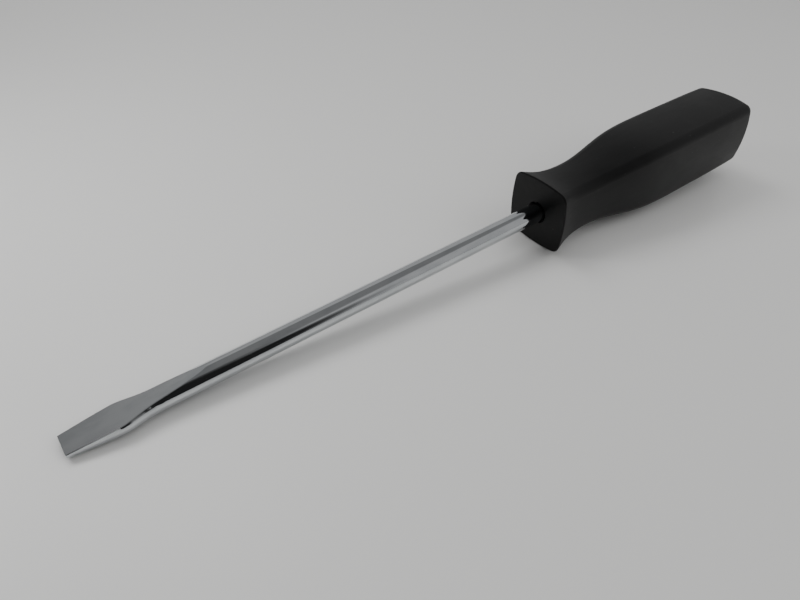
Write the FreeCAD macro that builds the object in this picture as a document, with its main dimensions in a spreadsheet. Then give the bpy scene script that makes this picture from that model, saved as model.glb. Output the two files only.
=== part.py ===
import FreeCAD, Part
import math
import os

import Sketcher

# A flat-blade screwdriver lying level with its axis along X and its tip towards +X.
# It is two pieces: a forged steel blade, and the plastic handle moulded round its tang.
# Inside each body, x = 0 is the front face of the handle and the X axis is the tool's axis.

doc = FreeCAD.newDocument("screwdriver")
sheet = doc.addObject("Spreadsheet::Sheet", "sizes")

# Driving dimensions in millimetres.
SIZES = {
    "shank_diameter": 6.35,
    "blade_length": 152.4,
    "tip_width": 6.9,
    "shoulder_width": 9.1,
    "shoulder_distance": 12.6,
    "flare_length": 12.4,
    "tip_thickness": 1.0,
    "flat_runout": 36.0,
    "side_depth": 3.4,
    "tip_corner_radius": 0.3,
    "arris_chamfer": 0.12,
    "tang_length": 62.0,
    "tang_chamfer": 0.8,
    "wing_span": 10.0,
    "wing_root": 5.0,
    "wing_thickness": 2.2,
    "wing_length": 9.0,
    "front_wing_depth": 18.0,
    "rear_wing_depth": 44.0,
    "handle_length": 104.5,
    "flange_half": 11.9,
    "waist_half": 9.35,
    "belly_half": 12.7,
    "butt_half": 12.2,
    "crown_front": 1.3,
    "crown_rear": 1.0,
    "corner_front": 3.3,
    "corner_rear": 3.4,
    "dome_radius": 42.0,
    "dome_reach": 19.0,
    "butt_edge_radius": 4.0,
    "rim_radius": 0.4,
    "mouth_width": 0.6,
    "mouth_depth": 0.9,
}

# Handle sections from the front face to the butt: how far along the handle, the two
# driving half-sizes on either side, and how far the section has gone towards the second.
HANDLE_SECTIONS = [
    (0.000, "flange_half", "waist_half", 0.00),
    (0.030, "flange_half", "waist_half", 0.38),
    (0.065, "flange_half", "waist_half", 0.72),
    (0.110, "flange_half", "waist_half", 0.94),
    (0.170, "waist_half", "belly_half", 0.00),
    (0.240, "waist_half", "belly_half", 0.15),
    (0.310, "waist_half", "belly_half", 0.45),
    (0.385, "waist_half", "belly_half", 0.77),
    (0.465, "waist_half", "belly_half", 0.95),
    (0.570, "waist_half", "belly_half", 1.00),
    (0.780, "belly_half", "butt_half", 0.15),
    (1.000, "belly_half", "butt_half", 1.00),
]

# Flare sections from the round shank to the shoulder: how far along the flare, and how
# much of the growth in width and in side depth has been reached there.
FLARE_SECTIONS = [
    (0.00, 0.00),
    (0.18, 0.02),
    (0.38, 0.14),
    (0.68, 0.62),
    (1.00, 1.00),
]

# Clearance given to cutting shapes that pass right through a body.
OVERSHOOT = 2.0

for row, (name, value) in enumerate(SIZES.items(), start=1):
    sheet.set(f"A{row}", name)
    sheet.set(f"B{row}", str(value))
    sheet.setAlias(f"B{row}", name)
doc.recompute()


def size(name):
    """Return the text by which an expression reads a driving dimension."""
    return f"<<sizes>>.{name}"


def between(first, second, share):
    """Return the expression for a value part way from one driving dimension to another."""
    return f"({size(first)} + {share} * ({size(second)} - {size(first)}))"


def reading(expression):
    """Return the present value of an expression."""
    return float(sheet.evalExpression(expression))


def origin_plane(body, role):
    """Return the body's own origin plane with the given role."""
    for feature in body.Origin.OriginFeatures:
        if feature.Role == role:
            return feature
    raise ValueError(role)


def add_sketch(body, name, role, offset=None):
    """Add a sketch on one of the body's origin planes, moved along the plane's normal."""
    sketch = body.newObject("Sketcher::SketchObject", name)
    sketch.AttachmentSupport = (origin_plane(body, role), "")
    sketch.MapMode = "FlatFace"
    if offset:
        sketch.setExpression("AttachmentOffset.Base.z", offset)
    return sketch


def dimension(sketch, name, expression, kind, *places):
    """Add a named dimension to a sketch and bind it to an expression."""
    constraint = Sketcher.Constraint(kind, *places, reading(expression))
    index = sketch.addConstraint(constraint)
    sketch.renameConstraint(index, name)
    sketch.setExpression(f"Constraints.{name}", expression)


def arc(across, up, radius, start, end):
    """Return an arc in sketch coordinates, its angles in radians."""
    centre = FreeCAD.Vector(across, up, 0)
    circle = Part.Circle(centre, FreeCAD.Vector(0, 0, 1), radius)
    return Part.ArcOfCircle(circle, start, end)


def round_sketch(body, name, offset, diameter):
    """Draw a circle round the tool's axis."""
    sketch = add_sketch(body, name, "YZ_Plane", offset)
    centre = FreeCAD.Vector(0, 0, 0)
    sketch.addGeometry(Part.Circle(centre, FreeCAD.Vector(0, 0, 1), reading(diameter) / 2))
    sketch.addConstraint(Sketcher.Constraint("Coincident", 0, 3, -1, 1))
    dimension(sketch, "diameter", diameter, "Diameter", 0)
    return sketch


def oval_sketch(body, name, offset, half_width, half_height):
    """Draw a four-centre oval: side arcs and top arcs that share a tangent at 45 degrees."""
    sketch = add_sketch(body, name, "YZ_Plane", offset)
    cosine = math.sqrt(0.5)
    radius_text = f"({cosine} * {{}} - {1 - cosine} * {{}}) / {2 * cosine - 1}"
    side_text = radius_text.format(half_height, half_width)
    top_text = radius_text.format(half_width, half_height)
    side_radius = reading(side_text)
    top_radius = reading(top_text)
    side_inset = side_radius - reading(half_width)
    top_inset = top_radius - reading(half_height)
    arcs = [
        (-side_inset, 0, side_radius),
        (0, -top_inset, top_radius),
        (side_inset, 0, side_radius),
        (0, top_inset, top_radius),
    ]
    for number, (across, up, radius) in enumerate(arcs):
        middle = number * math.pi / 2
        start = middle - math.pi / 4
        end = middle + math.pi / 4
        sketch.addGeometry(arc(across, up, radius, start, end))
    for number in range(4):
        following = (number + 1) % 4
        sketch.addConstraint(Sketcher.Constraint("Coincident", number, 2, following, 1))
    sketch.addConstraint(Sketcher.Constraint("Symmetric", 0, 2, 1, 2, -2))
    sketch.addConstraint(Sketcher.Constraint("Symmetric", 0, 2, 2, 2, -1, 1))
    sketch.addConstraint(Sketcher.Constraint("Symmetric", 0, 2, 0, 1, -1))
    sketch.addConstraint(Sketcher.Constraint("Equal", 0, 2))
    sketch.addConstraint(Sketcher.Constraint("Equal", 1, 3))
    dimension(sketch, "side_radius", side_text, "Radius", 0)
    dimension(sketch, "top_radius", top_text, "Radius", 1)
    dimension(sketch, "join_across", f"{cosine} * {top_text}", "DistanceX", -1, 1, 0, 2)
    dimension(sketch, "join_up", f"{cosine} * {side_text}", "DistanceY", -1, 1, 0, 2)
    return sketch


def crowned_sketch(body, name, offset, half, crown, corner):
    """Draw a square with bowed sides and rounded corners, every join tangent."""
    sketch = add_sketch(body, name, "YZ_Plane", offset)
    side_text = f"({half}^2 + {crown}^2) / (2 * {crown})"
    inset_text = f"{side_text} - {half}"
    side_radius = reading(side_text)
    inset = reading(inset_text)
    corner_radius = reading(corner)
    reach = side_radius - corner_radius
    corner_centre = (math.sqrt(2 * reach**2 - inset**2) - inset) / 2
    half_angle = math.atan2(corner_centre, corner_centre + inset)
    for number in range(4):
        middle = number * math.pi / 2
        across = -inset * math.cos(middle)
        up = -inset * math.sin(middle)
        side_end = middle + half_angle
        sketch.addGeometry(arc(across, up, side_radius, middle - half_angle, side_end))
        diagonal = middle + math.pi / 4
        across = corner_centre * math.sqrt(2) * math.cos(diagonal)
        up = corner_centre * math.sqrt(2) * math.sin(diagonal)
        corner_end = middle + math.pi / 2 - half_angle
        sketch.addGeometry(arc(across, up, corner_radius, side_end, corner_end))
    for number in range(8):
        following = (number + 1) % 8
        sketch.addConstraint(Sketcher.Constraint("Tangent", number, 2, following, 1))
    for number in (2, 4, 6):
        sketch.addConstraint(Sketcher.Constraint("Equal", 0, number))
        sketch.addConstraint(Sketcher.Constraint("Equal", 1, number + 1))
    dimension(sketch, "side_radius", side_text, "Radius", 0)
    dimension(sketch, "corner_radius", corner, "Radius", 1)
    for number, axis in ((0, -1), (2, -2), (4, -1), (6, -2)):
        sketch.addConstraint(Sketcher.Constraint("PointOnObject", number, 3, axis))
    dimension(sketch, "right_inset", inset_text, "DistanceX", 0, 3, -1, 1)
    dimension(sketch, "upper_inset", inset_text, "DistanceY", 2, 3, -1, 1)
    dimension(sketch, "left_inset", inset_text, "DistanceX", -1, 1, 4, 3)
    dimension(sketch, "lower_inset", inset_text, "DistanceY", -1, 1, 6, 3)
    return sketch


def polygon_sketch(body, name, role, corners):
    """Draw a closed polygon whose corners are pairs of expressions."""
    sketch = add_sketch(body, name, role)
    points = [FreeCAD.Vector(reading(across), reading(up), 0) for across, up in corners]
    count = len(points)
    for number, point in enumerate(points):
        sketch.addGeometry(Part.LineSegment(point, points[(number + 1) % count]))
    for number in range(count):
        following = (number + 1) % count
        sketch.addConstraint(Sketcher.Constraint("Coincident", number, 2, following, 1))
    for number, (across, up) in enumerate(corners):
        dimension(sketch, f"across{number}", across, "DistanceX", -1, 1, number, 1)
        dimension(sketch, f"up{number}", up, "DistanceY", -1, 1, number, 1)
    return sketch


def loft(body, name, sketches, ruled):
    """Join a row of sections into a solid and add it to the body."""
    feature = body.newObject("PartDesign::AdditiveLoft", name)
    feature.Profile = sketches[0]
    feature.Sections = sketches[1:]
    feature.Ruled = ruled
    doc.recompute()
    return feature


def edges_where(shape, test):
    """Return the names of the edges that pass a test."""
    return [f"Edge{number}" for number, edge in enumerate(shape.Edges, start=1) if test(edge)]


def place(body):
    """Centre the tool's length on the origin and rest its thickest section on z = 0."""
    middle = f"({size('handle_length')} - {size('blade_length')}) / 2"
    body.setExpression("Placement.Base.x", middle)
    body.setExpression("Placement.Base.z", size("belly_half"))


# Blade: one steel bar with a round shank, a forged flare, a ground tip and a winged tang.
blade = doc.addObject("PartDesign::Body", "blade")
blade.Label = "blade"
place(blade)

tip_at = size("blade_length")
round_end = f"({tip_at} - {size('flat_runout')})"
shoulder_at = f"({tip_at} - {size('shoulder_distance')})"
flare_start = f"({shoulder_at} - {size('flare_length')})"
shank_half = f"({size('shank_diameter')} / 2)"
tip_half_width = f"({size('tip_width')} / 2)"
shoulder_half_width = f"({size('shoulder_width')} / 2)"

shank_sketch = round_sketch(
    blade, "shank_sketch", f"-{size('tang_length')}", size("shank_diameter")
)
shank = blade.newObject("PartDesign::Pad", "shank")
shank.Profile = shank_sketch
shank.setExpression("Length", f"{size('tang_length')} + {flare_start}")
doc.recompute()

flare_sketches = []
for number, (along, grown) in enumerate(FLARE_SECTIONS, start=1):
    half_width = f"({shank_half} + {grown} * ({shoulder_half_width} - {shank_half}))"
    half_height = f"({shank_half} + {grown} * ({size('side_depth')} - {shank_half}))"
    offset = f"{flare_start} + {along} * {size('flare_length')}"
    name = f"flare_section_{number}"
    flare_sketches.append(oval_sketch(blade, name, offset, half_width, half_height))
loft(blade, "flare", flare_sketches, False)

tip_sketches = [
    oval_sketch(blade, "tip_section_1", shoulder_at, shoulder_half_width, size("side_depth")),
    oval_sketch(blade, "tip_section_2", tip_at, tip_half_width, size("side_depth")),
]
loft(blade, "ground_tip", tip_sketches, True)

# The two broad faces are planes that leave the tip at half its thickness and run out on
# the round shank at the flat runout.
rise = f"({shank_half} - {size('tip_thickness')} / 2) / {size('flat_runout')}"
past_tip = f"{tip_at} + {OVERSHOOT}"
past_runout = f"{round_end} - {OVERSHOOT}"
face_at_tip = f"({size('tip_thickness')} / 2 - {OVERSHOOT} * {rise})"
face_at_runout = f"({shank_half} + {OVERSHOOT} * {rise})"
clear_height = f"({size('side_depth')} + {OVERSHOOT})"
for name, sign in (("upper_face", ""), ("lower_face", "-")):
    corners = [
        (past_tip, f"{sign}{face_at_tip}"),
        (past_tip, f"{sign}{clear_height}"),
        (past_runout, f"{sign}{clear_height}"),
        (past_runout, f"{sign}{face_at_runout}"),
    ]
    face_cut = blade.newObject("PartDesign::Pocket", name)
    face_cut.Profile = polygon_sketch(blade, f"{name}_sketch", "XZ_Plane", corners)
    face_cut.Midplane = True
    face_cut.setExpression("Length", f"2 * {size('shoulder_width')}")
    doc.recompute()

# Pinched wings keep the tang from turning in the plastic.
for name, depth in (("front_wings", "front_wing_depth"), ("rear_wings", "rear_wing_depth")):
    wing_front = f"-{size(depth)}"
    wing_back = f"-{size(depth)} - {size('wing_length')}"
    root_front = f"{wing_front} - ({size('wing_length')} - {size('wing_root')}) / 2"
    root_back = f"{root_front} - {size('wing_root')}"
    half_span = f"({size('wing_span')} / 2)"
    corners = [
        (wing_front, "0"),
        (root_front, half_span),
        (root_back, half_span),
        (wing_back, "0"),
        (root_back, f"-{half_span}"),
        (root_front, f"-{half_span}"),
    ]
    wings = blade.newObject("PartDesign::Pad", name)
    wings.Profile = polygon_sketch(blade, f"{name}_sketch", "XY_Plane", corners)
    wings.Midplane = True
    wings.setExpression("Length", size("wing_thickness"))
    doc.recompute()

tang_end_x = reading(f"-{size('tang_length')}")
tip_x = reading(tip_at)
shoulder_x = reading(shoulder_at)
NEAR = 1e-4


def on_tang_end(edge):
    """Tell whether an edge is the rim of the tang's end."""
    return all(abs(vertex.X - tang_end_x) < NEAR for vertex in edge.Vertexes)


def on_tip_corner(edge):
    """Tell whether an edge is one of the two short corners of the tip's end."""
    stands_up = edge.BoundBox.ZLength > reading(size("tip_thickness")) / 2
    return stands_up and all(abs(vertex.X - tip_x) < NEAR for vertex in edge.Vertexes)


def on_arris(edge):
    """Tell whether an edge runs from the tip to a shoulder, between two ground faces."""
    ends = sorted(vertex.X for vertex in edge.Vertexes)
    return abs(ends[0] - shoulder_x) < NEAR and abs(ends[-1] - tip_x) < NEAR


tang_bevel = blade.newObject("PartDesign::Chamfer", "tang_bevel")
tang_bevel.Base = (wings, edges_where(wings.Shape, on_tang_end))
tang_bevel.setExpression("Size", size("tang_chamfer"))
doc.recompute()

arrises = blade.newObject("PartDesign::Chamfer", "arrises")
arrises.Base = (tang_bevel, edges_where(tang_bevel.Shape, on_arris))
arrises.setExpression("Size", size("arris_chamfer"))
doc.recompute()

tip_corners = blade.newObject("PartDesign::Fillet", "tip_corners")
tip_corners.Base = (arrises, edges_where(arrises.Shape, on_tip_corner))
tip_corners.setExpression("Radius", size("tip_corner_radius"))
doc.recompute()

# Handle: one moulding with bowed faces, made solid here and then cut out by the tang.
moulding = doc.addObject("PartDesign::Body", "moulding")
moulding.Label = "moulding"
place(moulding)

section_sketches = []
for number, (along, first, second, share) in enumerate(HANDLE_SECTIONS, start=1):
    section_sketches.append(
        crowned_sketch(
            moulding,
            f"section_{number}",
            f"-{along} * {size('handle_length')}",
            between(first, second, share),
            between("crown_front", "crown_rear", along),
            between("corner_front", "corner_rear", along),
        )
    )
grip = loft(moulding, "grip", section_sketches, False)

# The butt is turned to a shallow dome before its edge is rounded.
dome_sketch = add_sketch(moulding, "dome_sketch", "XZ_Plane")
butt_at = f"-{size('handle_length')}"
dome_centre = f"({butt_at} + {size('dome_radius')})"
dome_depth = f"sqrt({size('dome_radius')}^2 - {size('dome_reach')}^2)"
dome_edge = f"({dome_centre} - {dome_depth})"
dome_angle = math.asin(reading(f"{size('dome_reach')} / {size('dome_radius')}"))
dome_start = math.pi - dome_angle
dome_radius = reading(size("dome_radius"))
behind_butt = f"({butt_at} - {OVERSHOOT})"
dome_points = [
    FreeCAD.Vector(reading(butt_at), 0, 0),
    FreeCAD.Vector(reading(behind_butt), 0, 0),
    FreeCAD.Vector(reading(behind_butt), reading(size("dome_reach")), 0),
    FreeCAD.Vector(reading(dome_edge), reading(size("dome_reach")), 0),
]
dome_sketch.addGeometry(arc(reading(dome_centre), 0, dome_radius, dome_start, math.pi))
for first_point, second_point in zip(dome_points, dome_points[1:]):
    dome_sketch.addGeometry(Part.LineSegment(first_point, second_point))
dome_sketch.addConstraint(Sketcher.Constraint("Coincident", 0, 2, 1, 1))
dome_sketch.addConstraint(Sketcher.Constraint("Coincident", 1, 2, 2, 1))
dome_sketch.addConstraint(Sketcher.Constraint("Coincident", 2, 2, 3, 1))
dome_sketch.addConstraint(Sketcher.Constraint("Coincident", 3, 2, 0, 1))
dome_sketch.addConstraint(Sketcher.Constraint("PointOnObject", 0, 3, -1))
dome_sketch.addConstraint(Sketcher.Constraint("PointOnObject", 0, 2, -1))
dome_sketch.addConstraint(Sketcher.Constraint("Horizontal", 1))
dome_sketch.addConstraint(Sketcher.Constraint("Vertical", 2))
dome_sketch.addConstraint(Sketcher.Constraint("Horizontal", 3))
dimension(dome_sketch, "dome_radius", size("dome_radius"), "Radius", 0)
dimension(dome_sketch, "dome_reach", size("dome_reach"), "DistanceY", -1, 1, 3, 1)
dimension(dome_sketch, "behind_butt", behind_butt, "DistanceX", -1, 1, 1, 2)
dimension(dome_sketch, "butt_at", butt_at, "DistanceX", -1, 1, 1, 1)
dome = moulding.newObject("PartDesign::Groove", "dome")
dome.Profile = dome_sketch
dome.ReferenceAxis = (dome_sketch, ["H_Axis"])
dome.Angle = 360
doc.recompute()

# The mouth is opened a little wider than the shank.
mouth_radius = f"({shank_half} + {size('mouth_width')})"
mouth_sketch = polygon_sketch(
    moulding,
    "mouth_sketch",
    "XZ_Plane",
    [
        ("0", "0"),
        ("0", mouth_radius),
        (f"-{size('mouth_depth')}", shank_half),
        (f"-{size('mouth_depth')}", "0"),
    ],
)
mouth = moulding.newObject("PartDesign::Groove", "mouth")
mouth.Profile = mouth_sketch
mouth.ReferenceAxis = (mouth_sketch, ["H_Axis"])
mouth.Angle = 360
doc.recompute()

smallest_rim_reach = reading(f"{size('flange_half')} - {size('rim_radius')}") / 2


def on_front_rim(edge):
    """Tell whether an edge belongs to the outer rim of the front face."""
    far_out = all(math.hypot(v.Y, v.Z) > smallest_rim_reach for v in edge.Vertexes)
    return far_out and all(abs(vertex.X) < NEAR for vertex in edge.Vertexes)


def on_butt_edge(edge):
    """Tell whether an edge runs round the dome."""
    centre = FreeCAD.Vector(reading(dome_centre), 0, 0)
    ends = [abs((v.Point - centre).Length - dome_radius) < NEAR for v in edge.Vertexes]
    return all(ends) and edge.Vertexes[0].X < reading(butt_at) / 2


rim = moulding.newObject("PartDesign::Fillet", "rim")
rim.Base = (mouth, edges_where(mouth.Shape, on_front_rim))
rim.setExpression("Radius", size("rim_radius"))
doc.recompute()

butt_edge = moulding.newObject("PartDesign::Fillet", "butt_edge")
butt_edge.Base = (rim, edges_where(rim.Shape, on_butt_edge))
butt_edge.setExpression("Radius", size("butt_edge_radius"))
doc.recompute()

handle = doc.addObject("Part::Cut", "handle")
handle.Label = "handle"
handle.Base = moulding
handle.Tool = blade
doc.recompute()

# Every feature has to be sound before anything is written.
for item in doc.Objects:
    if "Invalid" in item.State or "Error" in item.State:
        raise RuntimeError(f"{item.Name} did not rebuild: {item.State}")

os.makedirs("parts", exist_ok=True)
for node in (blade, handle):
    shape = node.Shape
    if shape.isNull() or not shape.isValid() or len(shape.Solids) != 1:
        raise RuntimeError(f"{node.Label} is not one sound solid")
    shape.exportStep(f"parts/{node.Label}.step")
    box = shape.BoundBox
    lengths = [round(length, 2) for length in (box.XLength, box.YLength, box.ZLength)]
    print(node.Label, "volume", round(shape.Volume, 1), "box", lengths)
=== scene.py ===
import math

import bpy
from mathutils import Euler, Matrix, Vector


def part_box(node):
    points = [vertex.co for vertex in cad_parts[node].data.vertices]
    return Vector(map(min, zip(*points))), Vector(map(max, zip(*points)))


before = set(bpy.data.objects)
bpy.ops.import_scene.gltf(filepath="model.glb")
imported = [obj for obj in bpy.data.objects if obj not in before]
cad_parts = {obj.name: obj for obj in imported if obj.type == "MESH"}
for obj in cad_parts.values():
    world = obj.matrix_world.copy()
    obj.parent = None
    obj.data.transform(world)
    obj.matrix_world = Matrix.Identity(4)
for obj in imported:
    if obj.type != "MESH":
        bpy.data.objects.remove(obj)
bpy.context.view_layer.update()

# ---- Blade -----------------------------------------------------------------------------
# One steel bar, round for most of its length, forged wider at its end, ground to a flat
# tip and plated with bright chrome. Drawing the bar leaves faint lines along it, and the
# wheel leaves others across the ground faces. Its tang is moulded into the handle.

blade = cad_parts["blade"]
tip_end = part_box("blade")[1][0]

CHROME_COLOUR = (0.600, 0.618, 0.632, 1)
CHROME_CLOUD = (0.520, 0.540, 0.556, 1)
CHROME_ROUGHNESS = 0.04
CLOUD_ROUGHNESS = 0.06
SCRATCH_ROUGHNESS = 0.10
GROUND_ROUGHNESS = 0.10
WHEEL_ROUGHNESS = 0.10
# The paler colour of the tip's edges is a painted highlight.
EDGE_HIGHLIGHT_COLOUR = (0.90, 0.91, 0.92, 1)
EDGE_ROUGHNESS = 0.45
LINE_DEPTH = 0.0000010
SPECK_DEPTH = 0.0000012

# Distances back from the tip, in metres: where the grinding fades in on the broad faces,
# and where the edges of the tip fade in.
GRINDING = (0.037, 0.031)
TIP_EDGES = (0.0127, 0.0122)

# How squarely a surface faces up or down where it counts as a broad face or as an edge.
BROAD_FACING = (0.985, 0.994)
EDGE_FACING = (0.74, 0.80)

# Strength of a pattern where its marks begin to show and where they show fully.
CLOUD_SHOWS = (0.35, 0.7)
SCRATCH_SHOWS = (0.62, 0.72)

# Grain of each pattern, in marks per metre along the blade, across it and upward.
CLOUD_GRAIN = (90, 260, 260)
DRAWN_GRAIN = (60, 9000, 9000)
WHEEL_GRAIN = (9000, 500, 60)
SPECK_GRAIN = (2600, 2600, 2600)
SCRATCH_GRAIN = (500, 9000, 9000)
SCRATCH_TURN = (0, 0, 0.35)


def new_material(name):
    """Start a material that has only its surface shader and its output."""
    material = bpy.data.materials.new(name)
    material.use_nodes = True
    tree = material.node_tree
    return material, tree, tree.nodes["Principled BSDF"]


def add(tree, kind, **settings):
    """Add a node and set its plain properties."""
    node = tree.nodes.new(kind)
    for key, value in settings.items():
        setattr(node, key, value)
    return node


def plug(tree, value, socket):
    """Join an output to a socket, or write a constant on it."""
    if isinstance(value, bpy.types.NodeSocket):
        tree.links.new(value, socket)
    else:
        socket.default_value = value


def maths(tree, operation, first, second=0.0, third=0.0):
    """Work out one step of arithmetic and return its output."""
    node = add(tree, "ShaderNodeMath", operation=operation)
    for socket, value in zip(node.inputs, (first, second, third)):
        plug(tree, value, socket)
    return node.outputs[0]


def spread(tree, value, low, high, to_low=0.0, to_high=1.0):
    """Carry a value smoothly from one range to another and stop at its ends."""
    node = add(tree, "ShaderNodeMapRange", interpolation_type="SMOOTHSTEP")
    for socket, number in zip(node.inputs, (value, low, high, to_low, to_high)):
        plug(tree, number, socket)
    return node.outputs[0]


def noise(tree, place, grain, detail, roughness=0.55, turn=(0, 0, 0)):
    """Return a noise pattern, its grain in marks per metre; a turn samples it at a slant."""
    mapping = add(tree, "ShaderNodeMapping")
    mapping.inputs["Scale"].default_value = grain
    mapping.inputs["Rotation"].default_value = turn
    tree.links.new(place, mapping.inputs["Vector"])
    node = add(tree, "ShaderNodeTexNoise")
    node.inputs["Scale"].default_value = 1.0
    node.inputs["Detail"].default_value = detail
    node.inputs["Roughness"].default_value = roughness
    tree.links.new(mapping.outputs[0], node.inputs["Vector"])
    return node.outputs[0]


def blend_colours(tree, share, first, second):
    """Mix two colours by a share."""
    node = add(tree, "ShaderNodeMix", data_type="RGBA")
    plug(tree, share, node.inputs[0])
    plug(tree, first, node.inputs[6])
    plug(tree, second, node.inputs[7])
    return node.outputs[2]


def blend_numbers(tree, share, first, second):
    """Mix two numbers by a share."""
    node = add(tree, "ShaderNodeMix")
    plug(tree, share, node.inputs[0])
    plug(tree, first, node.inputs[2])
    plug(tree, second, node.inputs[3])
    return node.outputs[0]


def bump(tree, height, depth, under=None):
    """Raise the surface by a height pattern, with the depth in metres."""
    node = add(tree, "ShaderNodeBump")
    node.inputs["Distance"].default_value = depth
    tree.links.new(height, node.inputs["Height"])
    if under is not None:
        tree.links.new(under, node.inputs["Normal"])
    return node.outputs[0]


chrome, tree, shader = new_material("chromed_steel")
place = add(tree, "ShaderNodeTexCoord").outputs["Object"]
axes = add(tree, "ShaderNodeSeparateXYZ")
tree.links.new(place, axes.inputs[0])
facing = add(tree, "ShaderNodeSeparateXYZ")
tree.links.new(add(tree, "ShaderNodeNewGeometry").outputs["True Normal"], facing.inputs[0])

# The grinding begins where the broad faces leave the round shank.
facing_up = maths(tree, "ABSOLUTE", facing.outputs[2])
grinding_start, grinding_full = (tip_end - distance for distance in GRINDING)
ground_reach = spread(tree, axes.outputs[0], grinding_start, grinding_full)
broad = spread(tree, facing_up, *BROAD_FACING)
ground = maths(tree, "MULTIPLY", ground_reach, broad)
not_ground = maths(tree, "SUBTRACT", 1.0, ground)

# The narrow edges between the broad faces and the sides of the tip are duller, and their paler
# colour is a painted highlight.
edge_start, edge_full = (tip_end - distance for distance in TIP_EDGES)
edge_reach = spread(tree, axes.outputs[0], edge_start, edge_full)
steep = spread(tree, facing_up, *EDGE_FACING)
edge = maths(tree, "MULTIPLY", steep, maths(tree, "SUBTRACT", 1.0, broad))
edge = maths(tree, "MULTIPLY", edge, edge_reach)

cloud = noise(tree, place, CLOUD_GRAIN, detail=3)
drawn = noise(tree, place, DRAWN_GRAIN, detail=3, roughness=0.6)
wheel = noise(tree, place, WHEEL_GRAIN, detail=3, roughness=0.65)
speck = noise(tree, place, SPECK_GRAIN, detail=2)
scratch = noise(tree, place, SCRATCH_GRAIN, detail=2, turn=SCRATCH_TURN)
scratched = spread(tree, scratch, *SCRATCH_SHOWS)

clouded = spread(tree, cloud, *CLOUD_SHOWS)
shade = blend_colours(tree, clouded, CHROME_COLOUR, CHROME_CLOUD)
# Paint a highlight along the tip's edges.
shade = blend_colours(tree, edge, shade, EDGE_HIGHLIGHT_COLOUR)
plug(tree, shade, shader.inputs["Base Color"])
shader.inputs["Metallic"].default_value = 1.0

plain = maths(tree, "MULTIPLY_ADD", cloud, CLOUD_ROUGHNESS, CHROME_ROUGHNESS)
plain = maths(tree, "MULTIPLY_ADD", scratched, SCRATCH_ROUGHNESS, plain)
brushed = maths(tree, "MULTIPLY_ADD", wheel, WHEEL_ROUGHNESS, GROUND_ROUGHNESS)
rough = blend_numbers(tree, ground, plain, brushed)
rough = blend_numbers(tree, edge, rough, EDGE_ROUGHNESS)
plug(tree, rough, shader.inputs["Roughness"])

along_lines = maths(tree, "MULTIPLY", drawn, not_ground)
lines = maths(tree, "MULTIPLY_ADD", wheel, ground, along_lines)
raised = bump(tree, lines, LINE_DEPTH)
raised = bump(tree, speck, SPECK_DEPTH, raised)
plug(tree, raised, shader.inputs["Normal"])
blade.material_slots[0].material = chrome

# ---- Handle ----------------------------------------------------------------------------
# One black plastic moulding round the tang, square with bowed sides, with a narrow waist
# behind its flange. The mould left it satin, and hands have polished its corners a little.

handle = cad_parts["handle"]
handle_low, handle_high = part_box("handle")
axis_height = (handle_low[2] + handle_high[2]) / 2

PLASTIC_COLOUR = (0.0030, 0.0031, 0.0032, 1)
RUBBED_COLOUR = (0.010, 0.010, 0.0103, 1)
DUST_COLOUR = (0.20, 0.20, 0.20, 1)
MOST_RUBBED = 0.35
MOST_SCUFFED = 0.5
MOST_DUST = 0.3
SATIN_ROUGHNESS = 0.36
BLOTCH_ROUGHNESS = 0.16
SCUFF_ROUGHNESS = 0.12
CORNER_POLISH = 0.05
PLASTIC_SHINE = 0.24
RIPPLE_DEPTH = 0.00006
SATIN_DEPTH = 0.000006

# Ratio of the nearer to the farther distance where a corner begins and where it is full.
CORNER_SHARE = (0.72, 0.94)

# Strength of a pattern where its marks begin to show and where they show fully.
BLOTCH_SHOWS = (0.45, 0.75)
SCUFF_SHOWS = (0.66, 0.78)
DUST_SHOWS = (0.76, 0.80)

# Grain of each pattern, in marks per metre along the handle, across it and upward.
BLOTCH_GRAIN = (70, 110, 110)
SATIN_GRAIN = (5200, 5200, 5200)
RIPPLE_GRAIN = (60, 240, 240)
SCUFF_GRAIN = (170, 3400, 3400)
SCUFF_TURN = (0, 0.25, 0.3)
DUST_GRAIN = (1500, 1500, 1500)

plastic, tree, shader = new_material("black_plastic")
place = add(tree, "ShaderNodeTexCoord").outputs["Object"]
axes = add(tree, "ShaderNodeSeparateXYZ")
tree.links.new(place, axes.inputs[0])

# The corners are where the two distances from the axis are nearly the same.
across = maths(tree, "ABSOLUTE", axes.outputs[1])
upward = maths(tree, "ABSOLUTE", maths(tree, "SUBTRACT", axes.outputs[2], axis_height))
nearer = maths(tree, "MINIMUM", across, upward)
farther = maths(tree, "MAXIMUM", across, upward)
corner = spread(tree, maths(tree, "DIVIDE", nearer, farther), *CORNER_SHARE)

blotch = noise(tree, place, BLOTCH_GRAIN, detail=4)
satin = noise(tree, place, SATIN_GRAIN, detail=3, roughness=0.6)
ripple = noise(tree, place, RIPPLE_GRAIN, detail=2)
scuff = noise(tree, place, SCUFF_GRAIN, detail=3, turn=SCUFF_TURN)
dust = noise(tree, place, DUST_GRAIN, detail=1)

rubbed = maths(tree, "MULTIPLY", spread(tree, blotch, *BLOTCH_SHOWS), MOST_RUBBED)
scuffed = spread(tree, scuff, *SCUFF_SHOWS)
scuff_share = maths(tree, "MULTIPLY", scuffed, MOST_SCUFFED)
dusty = maths(tree, "MULTIPLY", spread(tree, dust, *DUST_SHOWS), MOST_DUST)
tone = blend_colours(tree, rubbed, PLASTIC_COLOUR, RUBBED_COLOUR)
tone = blend_colours(tree, scuff_share, tone, RUBBED_COLOUR)
tone = blend_colours(tree, dusty, tone, DUST_COLOUR)
plug(tree, tone, shader.inputs["Base Color"])

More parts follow.
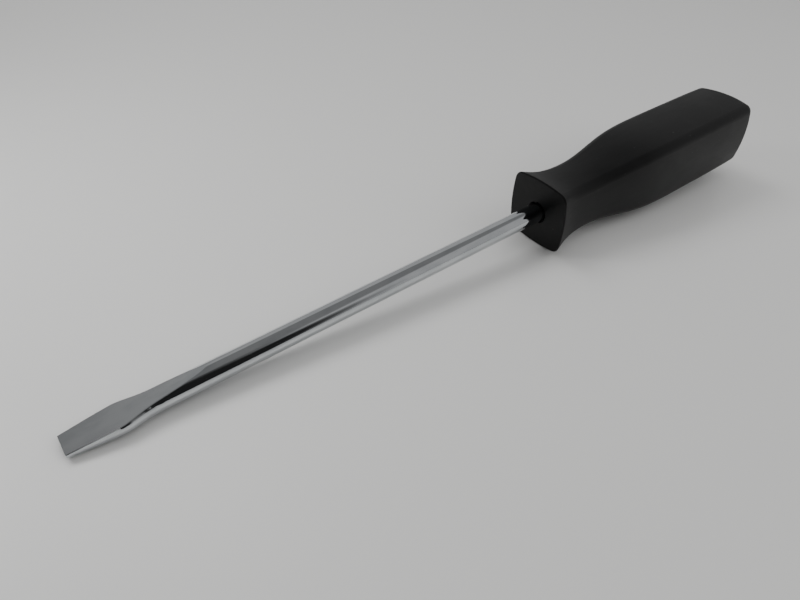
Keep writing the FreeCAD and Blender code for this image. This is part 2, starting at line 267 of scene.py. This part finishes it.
matt = maths(tree, "MULTIPLY_ADD", blotch, BLOTCH_ROUGHNESS, SATIN_ROUGHNESS)
matt = maths(tree, "MULTIPLY_ADD", corner, -CORNER_POLISH, matt)
matt = maths(tree, "MULTIPLY_ADD", scuffed, SCUFF_ROUGHNESS, matt)
plug(tree, matt, shader.inputs["Roughness"])
shader.inputs["Specular IOR Level"].default_value = PLASTIC_SHINE

raised = bump(tree, ripple, RIPPLE_DEPTH)
raised = bump(tree, satin, SATIN_DEPTH, raised)
plug(tree, raised, shader.inputs["Normal"])
handle.material_slots[0].material = plastic

# ---- Bench, light and camera -----------------------------------------------------------
# The tool lies on a pale bench, its flange all but touching and its tip a millimetre clear.
# Everything here is set out on the bench, with the origin under the handle's front face,
# and is then carried to where the level tool is.

LEAN = math.radians(0.77)
NOSE_DOWN = math.radians(3.83)
HEADING = math.radians(-140.84)
FACE_HEIGHT = 0.01188

turned = Euler((LEAN, NOSE_DOWN, HEADING)).to_matrix().to_4x4()
face_centre = Vector((handle_high[0], 0, axis_height))
raised_face = Matrix.Translation((0, 0, FACE_HEIGHT))
tool_on_bench = raised_face @ turned @ Matrix.Translation(-face_centre)
bench = tool_on_bench.inverted()

SENSOR_WIDTH = 36
LENS = 29.05
CAMERA_PLACE = (-0.04312, -0.18236, 0.12702)
CAMERA_TILT = math.radians(90 - 40.77)
CAMERA_ROLL = math.radians(3.76)
camera_data = bpy.data.cameras.new("camera")
camera_data.sensor_width = SENSOR_WIDTH
camera_data.lens = LENS
camera = bpy.data.objects.new("camera", camera_data)
bpy.context.collection.objects.link(camera)
camera.matrix_world = (
    bench
    @ Matrix.Translation(CAMERA_PLACE)
    @ Matrix.Rotation(CAMERA_TILT, 4, "X")
    @ Matrix.Rotation(CAMERA_ROLL, 4, "Z")
)
bpy.context.scene.camera = camera

FLOOR_SIDE = 6.0
FLOOR_COLOUR = (0.78, 0.78, 0.77, 1)
FLOOR_ROUGHNESS = 0.34
FLOOR_SHINE = 0.5
floor_mesh = bpy.data.meshes.new("floor")
reach = FLOOR_SIDE / 2
floor_corners = [(-reach, -reach, 0), (reach, -reach, 0), (reach, reach, 0), (-reach, reach, 0)]
floor_mesh.from_pydata(floor_corners, [], [(0, 1, 2, 3)])
floor = bpy.data.objects.new("floor", floor_mesh)
bpy.context.collection.objects.link(floor)
floor.matrix_world = bench
paint, tree, shader = new_material("pale_floor")
shader.inputs["Base Color"].default_value = FLOOR_COLOUR
shader.inputs["Roughness"].default_value = FLOOR_ROUGHNESS
shader.inputs["Specular IOR Level"].default_value = FLOOR_SHINE
floor_mesh.materials.append(paint)


def bench_direction(around, up):
    """Return a direction on the bench: degrees to the right of straight ahead, and upward."""
    around = math.radians(around)
    up = math.radians(up)
    return Vector((
        math.sin(around) * math.cos(up),
        math.cos(around) * math.cos(up),
        math.sin(up),
    ))


def soft_light(name, target, around, up, distance, side, power):
    """Hang a square soft light that looks at a target and is not mirrored by the tool."""
    data = bpy.data.lights.new(name, "AREA")
    data.shape = "SQUARE"
    data.size = side
    data.energy = power
    light = bpy.data.objects.new(name, data)
    light.visible_glossy = False
    bpy.context.collection.objects.link(light)
    direction = bench_direction(around, up)
    aim = direction.to_track_quat("Z", "Y").to_matrix().to_4x4()
    light.matrix_world = bench @ Matrix.Translation(target + direction * distance) @ aim


middle = Vector((0, 0, 0))
tip = tool_on_bench @ Vector((tip_end, 0, axis_height))
soft_light("key", middle, around=-50, up=54, distance=0.6, side=0.24, power=0.75)
soft_light("overhead", middle, around=-30, up=82, distance=1.2, side=1.2, power=3.6)
soft_light("fill", middle, around=105, up=42, distance=0.8, side=0.6, power=2.0)
soft_light("tip_lamp", tip, around=-66, up=46, distance=0.24, side=0.09, power=0.22)

# The room round the bench, which the bright bar mirrors: pale walls that are dimmer on the
# left, a dimmer ceiling, and a dark card behind the camera. WALL_TOP is how far a direction
# rises, and LEFT_WALL how far it reaches to the right, where each change begins and ends.
WALL_GLOW = 0.46
CEILING_GLOW = 0.22
WALL_TOP = (0.74, 0.82)
LEFT_WALL = (-0.70, -0.30)
LEFT_WALL_SHARE = 0.55
CARD_GLOW = 0.02
CARD_PLACE = bench_direction(165, 20)
CARD_EDGE = math.cos(math.radians(50))
CARD_FULL = math.cos(math.radians(38))
room = bpy.data.worlds.new("room")
bpy.context.scene.world = room
room.use_nodes = True
tree = room.node_tree
backdrop = tree.nodes["Background"]
look = add(tree, "ShaderNodeMapping", vector_type="VECTOR")
look.inputs["Rotation"].default_value = (LEAN, NOSE_DOWN, HEADING)
tree.links.new(add(tree, "ShaderNodeTexCoord").outputs["Generated"], look.inputs[0])
parts = add(tree, "ShaderNodeSeparateXYZ")
tree.links.new(look.outputs[0], parts.inputs[0])
glow = spread(tree, parts.outputs[2], *WALL_TOP, WALL_GLOW, CEILING_GLOW)
left_wall = spread(tree, parts.outputs[0], *LEFT_WALL, LEFT_WALL_SHARE, 1.0)
glow = maths(tree, "MULTIPLY", glow, left_wall)
toward_card = add(tree, "ShaderNodeVectorMath", operation="DOT_PRODUCT")
tree.links.new(look.outputs[0], toward_card.inputs[0])
toward_card.inputs[1].default_value = CARD_PLACE
card = spread(tree, toward_card.outputs["Value"], CARD_EDGE, CARD_FULL)
lit = maths(tree, "MULTIPLY", glow, maths(tree, "SUBTRACT", 1.0, card))
lit = maths(tree, "MULTIPLY_ADD", card, CARD_GLOW, lit)
tree.links.new(lit, backdrop.inputs["Strength"])
backdrop.inputs["Color"].default_value = (1, 1, 1, 1)
